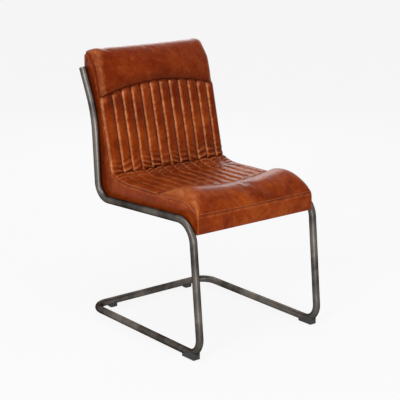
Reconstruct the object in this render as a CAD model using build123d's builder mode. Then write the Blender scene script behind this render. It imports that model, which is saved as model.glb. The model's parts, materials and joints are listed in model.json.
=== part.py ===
from build123d import *
import os
from math import asin, atan2, cos, degrees, hypot, radians, sin, sqrt, tan

# Cantilever dining chair: a bent steel tube frame carries one upholstered seat and back.
# X runs across the chair, Y to the rear and Z up, in millimetres. The origin is on the floor,
# under the middle of the whole chair. Right and left are the sitter's own.

# Steel tube, and the corners of its centre line before bending
tube_diameter = 22.0
tube_wall = 1.5
frame_width = 456.0
base_depth = 538.0
rail_height = 379.0
rail_rise = 20.0
rail_length = 449.0
foot_reach = 38.0
lower_back_height = 256.0
lower_back_lean = 15.0
upper_back_height = 130.0
upper_back_lean = 57.5
rail_corner_radius = 50.0
seat_front_radius = 65.0
foot_radius = 50.0
base_corner_radius = 50.0
back_bend_radius = 340.0

# Fittings of the frame
sleeve_length = 90.0
sleeve_wall = 2.0
plug_head = 1.6
plug_depth = 16.0
front_glide_base = 1.5
front_glide_width = 24.0
front_glide_length = 54.0
front_glide_setback = 17.5
front_glide_height = 22.0
front_glide_tail = 8.0
front_glide_nose = 12.0
rear_glide_base = 7.5
rear_glide_width = 20.0
rear_glide_length = 24.0
rear_glide_height = 14.0
rear_glide_spacing = 302.0
glide_corner = 2.0
peg_diameter = 6.0
peg_length = 5.0
front_peg_inset = 14.0
fit_gap = 0.15

# Studs that hold the upholstered body between the side tubes
stud_diameter = 6.0
stud_tail = 3.0
nut_flats = 10.0
nut_height = 5.0
washer_diameter = 12.0
washer_thickness = 1.6
seat_stud_inset = 140.0
lower_stud_rise = 176.0
upper_stud_drop = 62.0

# Outline of the upholstered body
leather = 1.5
layer_gap = 0.2
foam_gap = 0.5
pad_side_gap = 0.4
back_flush = 9.0
pad_drop = 10.5
seat_rise = 65.0
rise_radius = 230.0
rise_run = 77.0
crease_ahead = 61.5
back_lean = 13.1
head_rise = 65.0
head_turn_radius = 40.0
front_overhang = 12.0
front_seam_drop = 30.0
front_band_height = 47.5
side_seam_ahead = 15.0

# Channels, head roll and front roll
channel_count = 12
channel_depth = 5.5
edge_fall = 8.0
head_side_fall = 9.0
head_depth_side = 149.0
head_depth_middle = 117.0
head_bulge_side = 8.0
head_bulge_middle = 20.0
head_crest_setback = 16.0
head_fall = 13.0
head_top_crown = 4.0
roll_depth_side = 186.0
roll_depth_middle = 138.0
roll_bulge_side = 19.0
roll_bulge_middle = 31.0

# Timber carcass, webbing and underside
timber_width = 30.0
seat_padding = 40.8
cross_rail_thickness = 25.0
front_padding = 22.0
upright_front = 11.0
lower_rail_height = 32.0
top_rail_height = 40.0
corner_block_size = 45.0
webbing_thickness = 1.8
webbing_width = 50.0
seat_strap_count = 5
strap_inset = 45.0
strap_gap = 17.0
lower_strap_rise = 95.0
upper_strap_drop = 36.0
bracket_thickness = 3.0
bracket_width = 13.0
bracket_reach = 55.0
bracket_foot = 33.0
bracket_toe = 14.0
screw_diameter = 4.0
screw_head = 8.0
screw_head_height = 2.4
screw_length = 20.0
screw_edge = 9.0
upright_screw_rise = 18.0
dust_cloth = 0.8
staple_width = 10.0
staple_wire = 1.0
staple_edge = 12.0
staples_per_row = 7

# Sizes worked out from the ones above
tube_radius = tube_diameter / 2
bore_radius = tube_radius - tube_wall
tube_x = frame_width / 2
front_line = front_glide_base + tube_radius
rear_line = rear_glide_base + tube_radius
pad_half = tube_x - tube_radius - pad_side_gap
inset = leather + layer_gap
foam_half = pad_half - inset
timber_inner = foam_half - timber_width
pitch = 2 * pad_half / channel_count
seat_top = rail_height + seat_rise
front_seam = seat_top - front_seam_drop
band_bottom = front_seam - front_band_height
upright_rear = back_flush - inset
sides = {"right": -1, "left": 1}


def unit(start, end):
    length = hypot(end[0] - start[0], end[1] - start[1])
    return ((end[0] - start[0]) / length, (end[1] - start[1]) / length)


def move(point, direction, distance):
    return (point[0] + direction[0] * distance, point[1] + direction[1] * distance)


def dot(a, b):
    return a[0] * b[0] + a[1] * b[1]


def swell(start, end, height):
    """Point at a height to the left of the middle of a chord, for a bulging arc."""
    along = unit(start, end)
    centre = ((start[0] + end[0]) / 2, (start[1] + end[1]) / 2)
    return move(centre, (-along[1], along[0]), height)


# Side view of the frame's centre line, as (y, z) corners measured from the rail's rear corner,
# which is then placed so that the chair's box is centred on the origin.
rail_run = (-rail_length, rail_rise)
foot_run = (-rail_length - foot_reach, front_line - rail_height)
base_run = (foot_run[0] + base_depth, rear_line - rail_height)
leg_up = unit(foot_run, rail_run)
base_back = unit(foot_run, base_run)
foot_bisector = unit((0, 0), (leg_up[0] + base_back[0], leg_up[1] + base_back[1]))
foot_sine = sqrt((1 - dot(leg_up, base_back)) / 2)
foot_centre = foot_run[0] + foot_bisector[0] * foot_radius / foot_sine
front_reach = foot_radius + tube_radius - foot_centre
upper_angle = atan2(upper_back_lean, upper_back_height)
end_reach = tube_radius * cos(upper_angle) + plug_head * sin(upper_angle)
rear_reach = lower_back_lean + upper_back_lean + end_reach
rail_rear = ((front_reach - rear_reach) / 2, rail_height)
rail_front = move(rail_rear, rail_run, 1)
foot_corner = move(rail_rear, foot_run, 1)
base_rear = move(rail_rear, base_run, 1)
back_bend = move(rail_rear, (lower_back_lean, lower_back_height), 1)
back_top = move(back_bend, (upper_back_lean, upper_back_height), 1)

rail_forward = unit(rail_rear, rail_front)
up_low = unit(rail_rear, back_bend)
up_high = unit(back_bend, back_top)
rear_low = (up_low[1], -up_low[0])
rear_high = (up_high[1], -up_high[0])


def rail_point(ahead):
    """Point on the seat rail's centre line, at a distance ahead of its rear corner."""
    return move(rail_rear, rail_forward, -ahead / rail_forward[0])


def low_point(height, offset):
    """Point at a height, beside the lower back tube, at an offset behind its centre line."""
    start = move(rail_rear, rear_low, offset)
    return move(start, up_low, (height - start[1]) / up_low[1])


def underside(y, depth):
    """Height of the body's underside, which follows the seat rail, at a depth inside its skin."""
    return rail_height + (rail_rear[0] - y) * rail_rise / rail_length - pad_drop + depth


def rear_corner(depth, offset):
    """Corner where the underside meets the back's rear, at a depth and an offset behind the tube."""
    height = underside(rail_rear[0], depth)
    height = underside(low_point(height, offset)[0], depth)
    height = underside(low_point(height, offset)[0], depth)
    return low_point(height, offset)


def bend_point(offset):
    """Corner between the two back lines, at an offset behind the centre line."""
    share = offset / (1 + dot(rear_low, rear_high))
    return move(move(back_bend, rear_low, share), rear_high, share)


def high_point(down, offset):
    """Point beside the upper back tube, at a distance below its top and an offset behind it."""
    return move(move(back_top, rear_high, offset), up_high, -down)


# The back's front plane leans back from the crease, where the seat's surface rises to meet it.
rise = rise_radius - sqrt(rise_radius**2 - rise_run**2)
rise_angle = asin(rise_run / rise_radius)
crease = (rail_rear[0] - crease_ahead, seat_top + rise)
rise_start = (crease[0] - rise_run, seat_top)
back_up = (sin(radians(back_lean)), cos(radians(back_lean)))
back_in = (back_up[1], -back_up[0])
head_top = back_top[1] + head_rise
back_length = (head_top - crease[1]) / back_up[1]
pad_front = rail_front[0] - front_overhang
rear_face = high_point(0, back_flush)[0]
wrap_end = rail_rear[0] - rail_corner_radius

# Longer than the whole chair each way, for blocks that trim a layer at its sides
beyond = 2 * (head_top + base_depth)


def back_point(up, depth):
    """Point at a distance up the back from the crease and a depth behind its front plane."""
    return move(move(crease, back_up, up), back_in, depth)


def rear_turn(offset):
    """Corner where the rear face turns upright behind the head roll, at an offset from the tube."""
    start = high_point(0, offset)
    return move(start, up_high, (rear_face - back_flush + offset - start[0]) / up_high[0])


# The crease is cut along the plane that halves the angle between the seat and the back.
mitre_out = unit((0, 0), (back_up[0] - cos(rise_angle), back_up[1] - sin(rise_angle)))
mitre_sine = abs(mitre_out[0] * back_up[1] - mitre_out[1] * back_up[0])
mitre_normal = (0, -mitre_out[1], mitre_out[0])
crease_plane = Plane(origin=(0, *crease), x_dir=(1, 0, 0), z_dir=mitre_normal)

# The side panels of seat and back meet along a seam from the crease to the rear corner.
seam_foot = rail_rear[0] - side_seam_ahead
side_seam = unit(crease, (seam_foot, underside(seam_foot, 0)))
seam_normal = (0, side_seam[1], -side_seam[0])
seam_plane = Plane(origin=(0, *crease), x_dir=(1, 0, 0), z_dir=seam_normal)


def across(x, at_side, at_middle):
    """Size across the chair that swells in the middle and is drawn in at the sides."""
    return at_side + (at_middle - at_side) * (1 - (x / pad_half) ** 2)


def arch(x, at_side, at_middle):
    """Size across the chair that follows an arc of a circle."""
    sagitta = at_middle - at_side
    radius = (pad_half**2 + sagitta**2) / (2 * sagitta)
    drop = abs(radius) - sqrt(radius**2 - x**2)
    return at_middle - drop * sagitta / abs(sagitta)


def fall(x, depth):
    """Depth by which the outermost channel's width is drawn in towards the side."""
    return depth * max(0, (abs(x) - pad_half + pitch) / pitch) ** 2


def stations():
    """Places across the chair for the sections of a roll, closer together at its sides."""
    flat = pad_half - pitch
    right = [pad_half, pad_half - pitch / 2, flat, flat / 2]
    return [-x for x in right] + [0] + right[::-1]


def rods(planes, radius, length):
    """Separate round bars, one out of each plane."""
    with BuildPart() as bars:
        for plane in planes:
            with BuildSketch(plane):
                Circle(radius)
            extrude(amount=length)
    return bars.part


# Frame

def tube_path(side):
    """Corners of one half of the frame, from the back's top to the middle of the floor bar."""
    corners = (back_top, back_bend, rail_rear, rail_front, foot_corner, base_rear)
    points = [(side * tube_x, y, z) for y, z in corners]
    return points + [(0, *base_rear)]


bend_radii = (
    back_bend_radius,
    rail_corner_radius,
    seat_front_radius,
    foot_radius,
    base_corner_radius,
)


def bent_rod(side, radius):
    """Solid rod along one half of the frame, for cutting saddles and studs."""
    with BuildPart() as rod:
        with BuildLine() as path:
            FilletPolyline(*tube_path(side), radius=bend_radii)
        with BuildSketch(Plane(origin=path.line @ 0, z_dir=path.line % 0)):
            Circle(radius)
        sweep()
    return rod.part


front_peg_y = foot_corner[0] + front_glide_setback + front_glide_length - front_peg_inset
front_pegs = {side: (side * tube_x, front_peg_y) for side in sides.values()}
rear_pegs = {side: (side * rear_glide_spacing / 2, base_rear[0]) for side in sides.values()}


def frame_tube(side):
    """Bent tube with the holes for its glide pegs."""
    with BuildPart() as tube:
        with BuildLine() as path:
            FilletPolyline(*tube_path(side), radius=bend_radii)
        with BuildSketch(Plane(origin=path.line @ 0, z_dir=path.line % 0)):
            Circle(tube_radius)
            Circle(bore_radius, mode=Mode.SUBTRACT)
        sweep()
        with BuildSketch(Plane.XY):
            with Locations(front_pegs[side], rear_pegs[side]):
                Circle(peg_diameter / 2 + fit_gap)
        extrude(amount=rear_line, mode=Mode.SUBTRACT)
    return tube.part


def frame_joint_sleeve():
    """Pipe inside the floor bar that lines up the two halves of the frame for welding."""
    radius = bore_radius - fit_gap
    with BuildPart() as sleeve:
        with BuildSketch(Plane.YZ):
            with Locations(base_rear):
                Circle(radius)
                Circle(radius - sleeve_wall, mode=Mode.SUBTRACT)
        extrude(amount=sleeve_length / 2, both=True)
    return sleeve.part


def tube_end_plugs():
    """Stepped plugs that close the top ends of the two tubes."""
    with BuildPart() as plugs:
        for side in sides.values():
            end = Plane(origin=(side * tube_x, *back_top), x_dir=(1, 0, 0), z_dir=(0, *up_high))
            with BuildSketch(end):
                Circle(tube_radius)
            extrude(amount=plug_head)
            with BuildSketch(end):
                Circle(bore_radius - fit_gap)
            extrude(amount=-plug_depth)
    return plugs.part


def fitted_glides(blocks, pegs, base):
    """Glide blocks with saddles cut for the tube and pegs that snap into it."""
    saddles = [bent_rod(side, tube_radius + fit_gap) for side in sides.values()]
    with BuildPart() as glides:
        add(blocks)
        add(saddles, mode=Mode.SUBTRACT)
        with BuildSketch(Plane.XY.offset(base / 2)):
            with Locations(*pegs):
                Circle(peg_diameter / 2)
        extrude(amount=base / 2 + tube_wall + peg_length)
    return glides.part


def front_glides():
    """Clip-on glides under the foot bends, higher at the front where the tube rises."""
    front = foot_corner[0] + front_glide_setback
    rear = front + front_glide_length
    with BuildPart() as blocks:
        for side in sides.values():
            with BuildSketch(Plane.YZ.offset(side * tube_x)):
                with BuildLine():
                    Polyline(
                        (front, 0),
                        (rear, 0),
                        (rear, front_glide_tail),
                        (front + front_glide_nose, front_glide_height),
                        (front, front_glide_height),
                        close=True,
                    )
                make_face()
            extrude(amount=front_glide_width / 2, both=True)
        fillet(blocks.edges().filter_by(Axis.Z), glide_corner)
    return fitted_glides(blocks.part, front_pegs.values(), front_glide_base)


def rear_glides():
    """Small glides under the rear floor bar."""
    with BuildPart() as blocks:
        with BuildSketch(Plane.XY):
            with Locations(*rear_pegs.values()):
                RectangleRounded(rear_glide_length, rear_glide_width, glide_corner)
        extrude(amount=rear_glide_height)
    return fitted_glides(blocks.part, rear_pegs.values(), rear_glide_base)


# Studs, washers and nuts

seat_studs = (rail_point(rail_length - seat_stud_inset), rail_point(seat_stud_inset))
back_studs = (low_point(rail_height + lower_stud_rise, 0), high_point(upper_stud_drop, 0))


def side_planes(places, x, wanted=(-1, 1)):
    """Planes at a distance from the chair's middle, facing inward, at places in the side view."""
    return [
        Plane(origin=(side * x, *place), x_dir=(0, 1, 0), z_dir=(-side, 0, 0))
        for side in wanted
        for place in places
    ]


all_studs = seat_studs + back_studs
nut_face = timber_inner - washer_thickness


def mounting_studs():
    """Threaded studs welded to the inner sides of the tubes."""
    length = tube_x - nut_face + nut_height + stud_tail
    bars = rods(side_planes(all_studs, tube_x), stud_diameter / 2, length)
    tubes = [bent_rod(side, tube_radius) for side in sides.values()]
    with BuildPart() as studs:
        add(bars)
        add(tubes, mode=Mode.SUBTRACT)
    return studs.part


def stud_washers():
    bores = rods(side_planes(all_studs, timber_inner), stud_diameter / 2 + fit_gap, washer_thickness)
    discs = rods(side_planes(all_studs, timber_inner), washer_diameter / 2, washer_thickness)
    with BuildPart() as washers:
        add(discs)
        add(bores, mode=Mode.SUBTRACT)
    return washers.part


def stud_nuts():
    with BuildPart() as nuts:
        for plane in side_planes(all_studs, nut_face):
            with BuildSketch(plane):
                RegularPolygon(nut_flats / 2, 6, major_radius=False)
                Circle(stud_diameter / 2 + fit_gap, mode=Mode.SUBTRACT)
            extrude(amount=nut_height)
    return nuts.part


# Timber carcass

rail_timber_top = seat_top - seat_padding
heel_top = rail_height + rail_corner_radius
heel_front = low_point(heel_top, -upright_front)
front_rail_front = pad_front + front_padding
nose_rear = front_rail_front + leather
nose_bottom = band_bottom + inset
turn_tangent = head_turn_radius * tan(upper_angle / 2)
carcass_drop = turn_tangent + layer_gap
upright_middle = (upright_rear - upright_front) / 2
foot_bottom = underside(wrap_end, inset) + bracket_toe
foot_top = foot_bottom + bracket_toe
foot_middle = (foot_bottom + foot_top) / 2
foot_screws = (
    (wrap_end + screw_edge, foot_middle),
    (wrap_end + bracket_foot - screw_edge, foot_middle),
)
upright_screws = (
    low_point(heel_top + upright_screw_rise, upright_middle),
    low_point(heel_top + bracket_reach - screw_edge, upright_middle),
)
screw_bore = screw_diameter / 2 + fit_gap


def seat_side_rail(side):
    """Plywood side rail of the seat, with a raised heel that carries the back's upright."""
    bores = rods(side_planes(seat_studs, foam_half, [side]), stud_diameter / 2 + fit_gap, timber_width)
    pilots = rods(side_planes(foot_screws, timber_inner, [side]), screw_bore, -screw_length)
    corners = (
        (front_rail_front, underside(front_rail_front, inset)),
        rear_corner(inset, upright_rear),
        low_point(heel_top, upright_rear),
        heel_front,
        (heel_front[0] - upright_front, rail_timber_top),
        (front_rail_front, rail_timber_top),
    )
    with BuildPart() as rail:
        with BuildSketch(Plane.YZ.offset(side * timber_inner)):
            with BuildLine():
                heel_radius = rail_corner_radius + upright_rear
                FilletPolyline(*corners, radius=(0, heel_radius, 0, 0, 0, 0), close=True)
            make_face()
        extrude(amount=side * timber_width)
        add([bores, pilots], mode=Mode.SUBTRACT)
    return rail.part


def back_upright(side):
    """Bent plywood upright that follows the back tube and stands on the side rail's heel."""
    bores = rods(side_planes(back_studs, foam_half, [side]), stud_diameter / 2 + fit_gap, timber_width)
    pilots = rods(side_planes(upright_screws, timber_inner, [side]), screw_bore, -screw_length)
    corners = (
        low_point(heel_top, upright_rear),
        bend_point(upright_rear),
        high_point(carcass_drop, upright_rear),
        high_point(carcass_drop, -upright_front),
        bend_point(-upright_front),
        heel_front,
    )
    rear_bend = back_bend_radius - upright_rear
    front_bend = back_bend_radius + upright_front
    with BuildPart() as upright:
        with BuildSketch(Plane.YZ.offset(side * timber_inner)):
            with BuildLine():
                FilletPolyline(*corners, radius=(0, rear_bend, 0, 0, front_bend, 0), close=True)
            make_face()
        extrude(amount=side * timber_width)
        add([bores, pilots], mode=Mode.SUBTRACT)
    return upright.part


def cross_rail(corners):
    """Straight timber between the two sides, of a section given in the side view."""
    with BuildPart() as rail:
        with BuildSketch(Plane.YZ):
            with BuildLine():
                Polyline(*corners, close=True)
            make_face()
        extrude(amount=timber_inner, both=True)
    return rail.part


def seat_cross_rail(front):
    rear = front + cross_rail_thickness
    return cross_rail((
        (front, underside(front, inset)),
        (rear, underside(rear, inset)),
        (rear, rail_timber_top),
        (front, rail_timber_top),
    ))


rear_rail_front = wrap_end - cross_rail_thickness
lower_rail_bottom = heel_top + bracket_reach + layer_gap
lower_rail_top = lower_rail_bottom + lower_rail_height


def back_lower_rail():
    return cross_rail((
        low_point(lower_rail_bottom, -upright_front),
        low_point(lower_rail_bottom, upright_rear),
        low_point(lower_rail_top, upright_rear),
        low_point(lower_rail_top, -upright_front),
    ))


def back_top_rail():
    bottom = carcass_drop + top_rail_height
    return cross_rail((
        high_point(bottom, -upright_front),
        high_point(bottom, upright_rear),
        high_point(carcass_drop, upright_rear),
        high_point(carcass_drop, -upright_front),
    ))


def corner_blocks():
    """Triangular blocks glued into the corners of the seat frame."""
    front = front_rail_front + cross_rail_thickness
    with BuildPart() as blocks:
        for y, inward in ((front, 1), (rear_rail_front, -1)):
            far = y + inward * corner_block_size
            bottom = underside(min(y, far), inset)
            with BuildSketch(Plane.XY.offset(bottom)):
                for side in sides.values():
                    with BuildLine():
                        Polyline(
                            (side * timber_inner, y),
                            (side * timber_inner, far),
                            (side * (timber_inner - corner_block_size), y),
                            close=True,
                        )
                    make_face()
            extrude(amount=rail_timber_top - bottom)
    return blocks.part


def corner_brackets():
    """Steel knee plates that tie each upright to its side rail."""
    rear_edge = upright_middle + bracket_width / 2
    front_edge = upright_middle - bracket_width / 2
    bores = rods(side_planes(foot_screws + upright_screws, timber_inner), screw_bore, bracket_thickness)
    with BuildPart() as brackets:
        for side in sides.values():
            with BuildSketch(Plane.YZ.offset(side * timber_inner)):
                with BuildLine():
                    Polyline(
                        (wrap_end + layer_gap, foot_bottom),
                        (wrap_end + bracket_foot, foot_bottom),
                        low_point(heel_top, rear_edge),
                        low_point(heel_top + bracket_reach, rear_edge),
                        low_point(heel_top + bracket_reach, front_edge),
                        low_point(heel_top, front_edge),
                        (wrap_end + bracket_foot - bracket_width / 2, foot_top),
                        (wrap_end + layer_gap, foot_top),
                        close=True,
                    )
                make_face()
            extrude(amount=-side * bracket_thickness)
        add(bores, mode=Mode.SUBTRACT)
    return brackets.part


def bracket_screws():
    places = foot_screws + upright_screws
    head_face = timber_inner - bracket_thickness
    shanks = rods(side_planes(places, head_face), screw_diameter / 2, -screw_length)
    heads = rods(side_planes(places, head_face), screw_head / 2, screw_head_height)
    with BuildPart() as screws:
        add([shanks, heads])
    return screws.part


# Webbing

def seat_webbing():
    """Straps across the seat, stretched over the side rails."""
    first = front_rail_front + strap_inset
    step = (wrap_end - strap_inset - first) / (seat_strap_count - 1)
    with BuildPart() as straps:
        with BuildSketch(Plane.XY.offset(rail_timber_top)):
            with Locations(*[(0, first + step * number) for number in range(seat_strap_count)]):
                Rectangle(2 * foam_half, webbing_width)
        extrude(amount=webbing_thickness)
    return straps.part


def back_webbing():
    """Straps across the back, on the straight stretches of the uprights."""
    low = low_point(rail_height + lower_strap_rise, -upright_front)
    middle = move(low, up_low, webbing_width + strap_gap)
    high = high_point(upper_strap_drop, -upright_front)
    with BuildPart() as straps:
        for place, up in ((low, up_low), (middle, up_low), (high, up_high)):
            face = Plane(origin=(0, *place), x_dir=(1, 0, 0), z_dir=(0, -up[1], up[0]))
            with BuildSketch(face):
                Rectangle(2 * foam_half, webbing_width)
            extrude(amount=webbing_thickness)
    return straps.part


# Channelled leather and foam of the seat and the back

def scallops(valley):
    """Row of arcs across the chair, one for each sewn channel, drawn in at both sides."""
    for number in range(channel_count):
        left = -pad_half + number * pitch
        centre = left + pitch / 2
        right = left + pitch
        crown = valley + channel_depth - fall(centre, edge_fall)
        ThreePointArc(
            (left, valley - fall(left, edge_fall)),
            (centre, crown),
            (right, valley - fall(right, edge_fall)),
        )


def channel_section(plane, valley, depth):
    """Section of a channelled layer, of a given depth or as thin as the leather."""
    edge = valley - edge_fall
    with BuildSketch(plane) as section:
        with BuildLine():
            scallops(valley)
            if depth == leather:
                scallops(valley - depth)
                Line((pad_half, edge), (pad_half, edge - depth))
                Line((-pad_half, edge - depth), (-pad_half, edge))
            else:
                Polyline(
                    (pad_half, edge),
                    (pad_half, valley - depth),
                    (-pad_half, valley - depth),
                    (-pad_half, edge),
                )
        make_face()
    return section.sketch


def beyond_arch(plane, at_side, at_middle, far, height):
    """Block beyond an arched seam, drawn on a plane and reaching to both sides of it."""
    wide = pad_half + channel_depth
    with BuildPart() as block:
        with BuildSketch(plane):
            with BuildLine():
                ThreePointArc((-pad_half, at_side), (0, at_middle), (pad_half, at_side))
                Polyline(
                    (pad_half, at_side),
                    (wide, at_side),
                    (wide, far),
                    (-wide, far),
                    (-wide, at_side),
                    (-pad_half, at_side),
                )
            make_face()
        extrude(amount=height, both=True)
    return block.part


arch_side = back_length - head_depth_side
arch_middle = back_length - head_depth_middle
foam_bottom = rail_timber_top + webbing_thickness + layer_gap
foam_rear = -(upright_front + webbing_thickness + layer_gap)
back_plane = Plane(origin=(0, *crease), x_dir=(1, 0, 0), z_dir=(0, -back_in[0], -back_in[1]))
back_section = Plane(origin=(0, *crease), x_dir=(-1, 0, 0), z_dir=(0, *back_up))
seat_start = pad_front + roll_depth_middle - channel_depth
seat_section = Plane(origin=(0, seat_start, seat_top), x_dir=(-1, 0, 0), z_dir=(0, 1, 0))


def seat_layer(valley, depth, half):
    """Channelled layer of the seat, from the front roll's seam to the crease."""
    section = channel_section(seat_section, valley, depth)
    roll = beyond_arch(
        Plane.XY.offset(seat_top),
        pad_front + roll_depth_side + layer_gap,
        pad_front + roll_depth_middle + layer_gap,
        pad_front,
        seat_rise,
    )
    with BuildPart() as layer:
        with BuildLine(Plane.YZ) as path:
            Line((seat_start, seat_top), rise_start)
            JernArc(rise_start, (1, 0), rise_radius, degrees(rise_angle))
        sweep(sections=section, path=path.line)
        add(roll, mode=Mode.SUBTRACT)
        Box(2 * half, beyond, beyond, mode=Mode.INTERSECT)
        split(bisect_by=crease_plane.offset(layer_gap / 2), keep=Keep.TOP)
    return layer.part


def back_layer(valley, depth, half):
    """Channelled layer of the back, from the crease to the head roll's seam."""
    section = channel_section(back_section, valley, depth)
    seam_side = arch_side - layer_gap
    seam_middle = arch_middle - layer_gap
    roll = beyond_arch(back_plane, seam_side, seam_middle, back_length, back_length)
    with BuildPart() as carcass:
        with BuildSketch(Plane.YZ):
            with BuildLine():
                front = back_bend_radius - foam_rear
                lower = low_point(band_bottom, foam_rear)
                upper = high_point(-head_rise, foam_rear)
                FilletPolyline(lower, bend_point(foam_rear), upper, radius=(front,))
                behind = upper[0] + base_depth
                Polyline(upper, (behind, upper[1]), (behind, lower[1]), lower)
            make_face()
        extrude(amount=frame_width, both=True)
    with BuildPart() as layer:
        extrude(section, amount=arch_middle)
        add([roll, carcass.part], mode=Mode.SUBTRACT)
        Box(2 * half, beyond, beyond, mode=Mode.INTERSECT)
        split(bisect_by=crease_plane.offset(-layer_gap / 2), keep=Keep.BOTTOM)
    return layer.part


def seat_channel_cover():
    return seat_layer(0, leather, pad_half)


def seat_foam():
    return seat_layer(-inset, seat_top - inset - foam_bottom, foam_half)


def back_channel_cover():
    return back_layer(0, leather, pad_half)


def back_foam():
    return back_layer(-inset, rear_face - crease[0], foam_half)


# Head roll and front roll

head_corner = back_point(back_length, 0)
head_rear = (rear_face, head_top - head_fall)
top_rearward = unit(head_corner, head_rear)
top_out = (-top_rearward[1], top_rearward[0])


def head_points(x, depth, rear):
    """Seam, crest and rear edge of the head roll at a place across it, at a depth under its skin."""
    drawn_in = fall(x, edge_fall)
    seam = back_point(arch(x, arch_side, arch_middle), depth + drawn_in)
    start = move(head_corner, top_out, -depth - fall(x, head_side_fall))
    crest = move(start, top_rearward, head_crest_setback + drawn_in)
    edge = move(start, top_rearward, (rear - start[0]) / top_rearward[0])
    return seam, crest, edge


def head_lines(x, depth, rear):
    """Front arc and top arc of the head roll."""
    seam, crest, edge = head_points(x, depth, rear)
    ThreePointArc(seam, swell(seam, crest, across(x, head_bulge_side, head_bulge_middle)), crest)
    ThreePointArc(crest, swell(crest, edge, head_top_crown), edge)


def head_roll_cover():
    """Leather over the head roll, from the arched seam to the rear edge."""
    with BuildPart() as cover:
        for x in stations():
            with BuildSketch(Plane.YZ.offset(x)):
                with BuildLine():
                    outer = head_points(x, 0, rear_face)
                    inner = head_points(x, leather, rear_face)
                    head_lines(x, 0, rear_face)
                    Line(outer[2], inner[2])
                    head_lines(x, leather, rear_face)
                    Line(inner[0], outer[0])
                make_face()
        loft()
    return cover.part


def head_roll_foam():
    """Foam inside the head roll, over the top of the carcass."""
    rear = rear_face - inset
    depth = leather + foam_gap
    shoulder = move(rear_turn(upright_rear), (0, 1), turn_tangent)
    heel = high_point(carcass_drop - layer_gap, upright_rear)
    step = high_point(carcass_drop - layer_gap, foam_rear)
    with BuildPart() as foam:
        for x in stations():
            with BuildSketch(Plane.YZ.offset(x)):
                with BuildLine():
                    seam, _, edge = head_points(x, depth, rear)
                    level = dot((step[0] - seam[0], step[1] - seam[1]), back_up) / dot(up_high, back_up)
                    notch = move(step, up_high, -level)
                    head_lines(x, depth, rear)
                    Polyline(edge, shoulder, heel, step, notch, seam)
                make_face()
        loft()
        Box(2 * foam_half, beyond, beyond, mode=Mode.INTERSECT)
    return foam.part


def roll_points(x, depth):
    """Front seam and rear seam of the front roll at a place across it, at a depth under its skin."""
    rear_seam = pad_front + arch(x, roll_depth_side, roll_depth_middle)
    return (pad_front + depth, front_seam), (rear_seam, seat_top - depth - fall(x, edge_fall))


def roll_line(x, depth):
    """Arc of the front roll, from its rear seam to its front seam."""
    front, rear = roll_points(x, depth)
    ThreePointArc(front, swell(front, rear, across(x, roll_bulge_side, roll_bulge_middle)), rear)


def front_roll_cover():
    """Leather over the front roll, from the front band to the arched seam."""
    with BuildPart() as cover:
        for x in stations():
            with BuildSketch(Plane.YZ.offset(x)):
                with BuildLine():
                    outer = roll_points(x, 0)
                    inner = roll_points(x, leather)
                    roll_line(x, 0)
                    Line(outer[1], inner[1])
                    roll_line(x, leather)
                    Line(inner[0], outer[0])
                make_face()
        loft()
    return cover.part


def front_roll_foam():
    """Foam of the front roll, over the front rail and down its front."""
    rail_face = front_rail_front - layer_gap
    depth = leather + foam_gap
    with BuildPart() as foam:
        for x in stations():
            with BuildSketch(Plane.YZ.offset(x)):
                with BuildLine():
                    front, rear = roll_points(x, depth)
                    roll_line(x, depth)
                    Polyline(
                        rear,
                        (rear[0], foam_bottom),
                        (rail_face, foam_bottom),
                        (rail_face, nose_bottom),
                        (front[0], nose_bottom),
                        front,
                    )
                make_face()
        loft()
        Box(2 * foam_half, beyond, beyond, mode=Mode.INTERSECT)
    return foam.part


# Flat leather panels, dust cover and staples

def side_panels(side):
    """Side panels of the seat and the back before they are parted, with the stud holes."""
    bores = rods(side_planes(all_studs, pad_half, [side]), stud_diameter / 2 + fit_gap, leather)
    seam, _, edge = head_points(pad_half, inset, rear_face)
    roll_front, roll_rear = roll_points(pad_half, inset)
    under = inset + edge_fall
    corner = move(crease, mitre_out, -under / mitre_sine)
    rise_middle = rise_radius + under
    half_angle = rise_angle / 2
    rise_bow = (
        rise_start[0] + rise_middle * sin(half_angle),
        seat_top + rise_radius - rise_middle * cos(half_angle),
    )
    flat_end = (rise_start[0], seat_top - under)
    with BuildPart() as panels:
        with BuildSketch(Plane.YZ.offset(side * (pad_half - leather))):
            with BuildLine():
                FilletPolyline(
                    (roll_front[0], band_bottom),
                    (nose_rear, band_bottom),
                    (nose_rear, underside(nose_rear, 0)),
                    rear_corner(0, back_flush),
                    bend_point(back_flush),
                    rear_turn(back_flush),
                    edge,
                    radius=(
                        0,
                        0,
                        rail_corner_radius + back_flush,
                        back_bend_radius - back_flush,
                        head_turn_radius,
                    ),
                )
                head_lines(pad_half, inset, rear_face)
                Line(seam, corner)
                ThreePointArc(corner, rise_bow, flat_end)
                Line(flat_end, roll_rear)
                roll_line(pad_half, inset)
                Line(roll_front, (roll_front[0], band_bottom))
            make_face()
        extrude(amount=side * leather)
        add(bores, mode=Mode.SUBTRACT)
    return panels.part


def seat_side_panel(side):
    whole = side_panels(side)
    with BuildPart() as panel:
        add(whole)
        split(bisect_by=seam_plane.offset(layer_gap / 2), keep=Keep.TOP)
    return panel.part


def back_side_panel(side):
    whole = side_panels(side)
    with BuildPart() as panel:
        add(whole)
        split(bisect_by=seam_plane.offset(-layer_gap / 2), keep=Keep.BOTTOM)
    return panel.part


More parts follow.
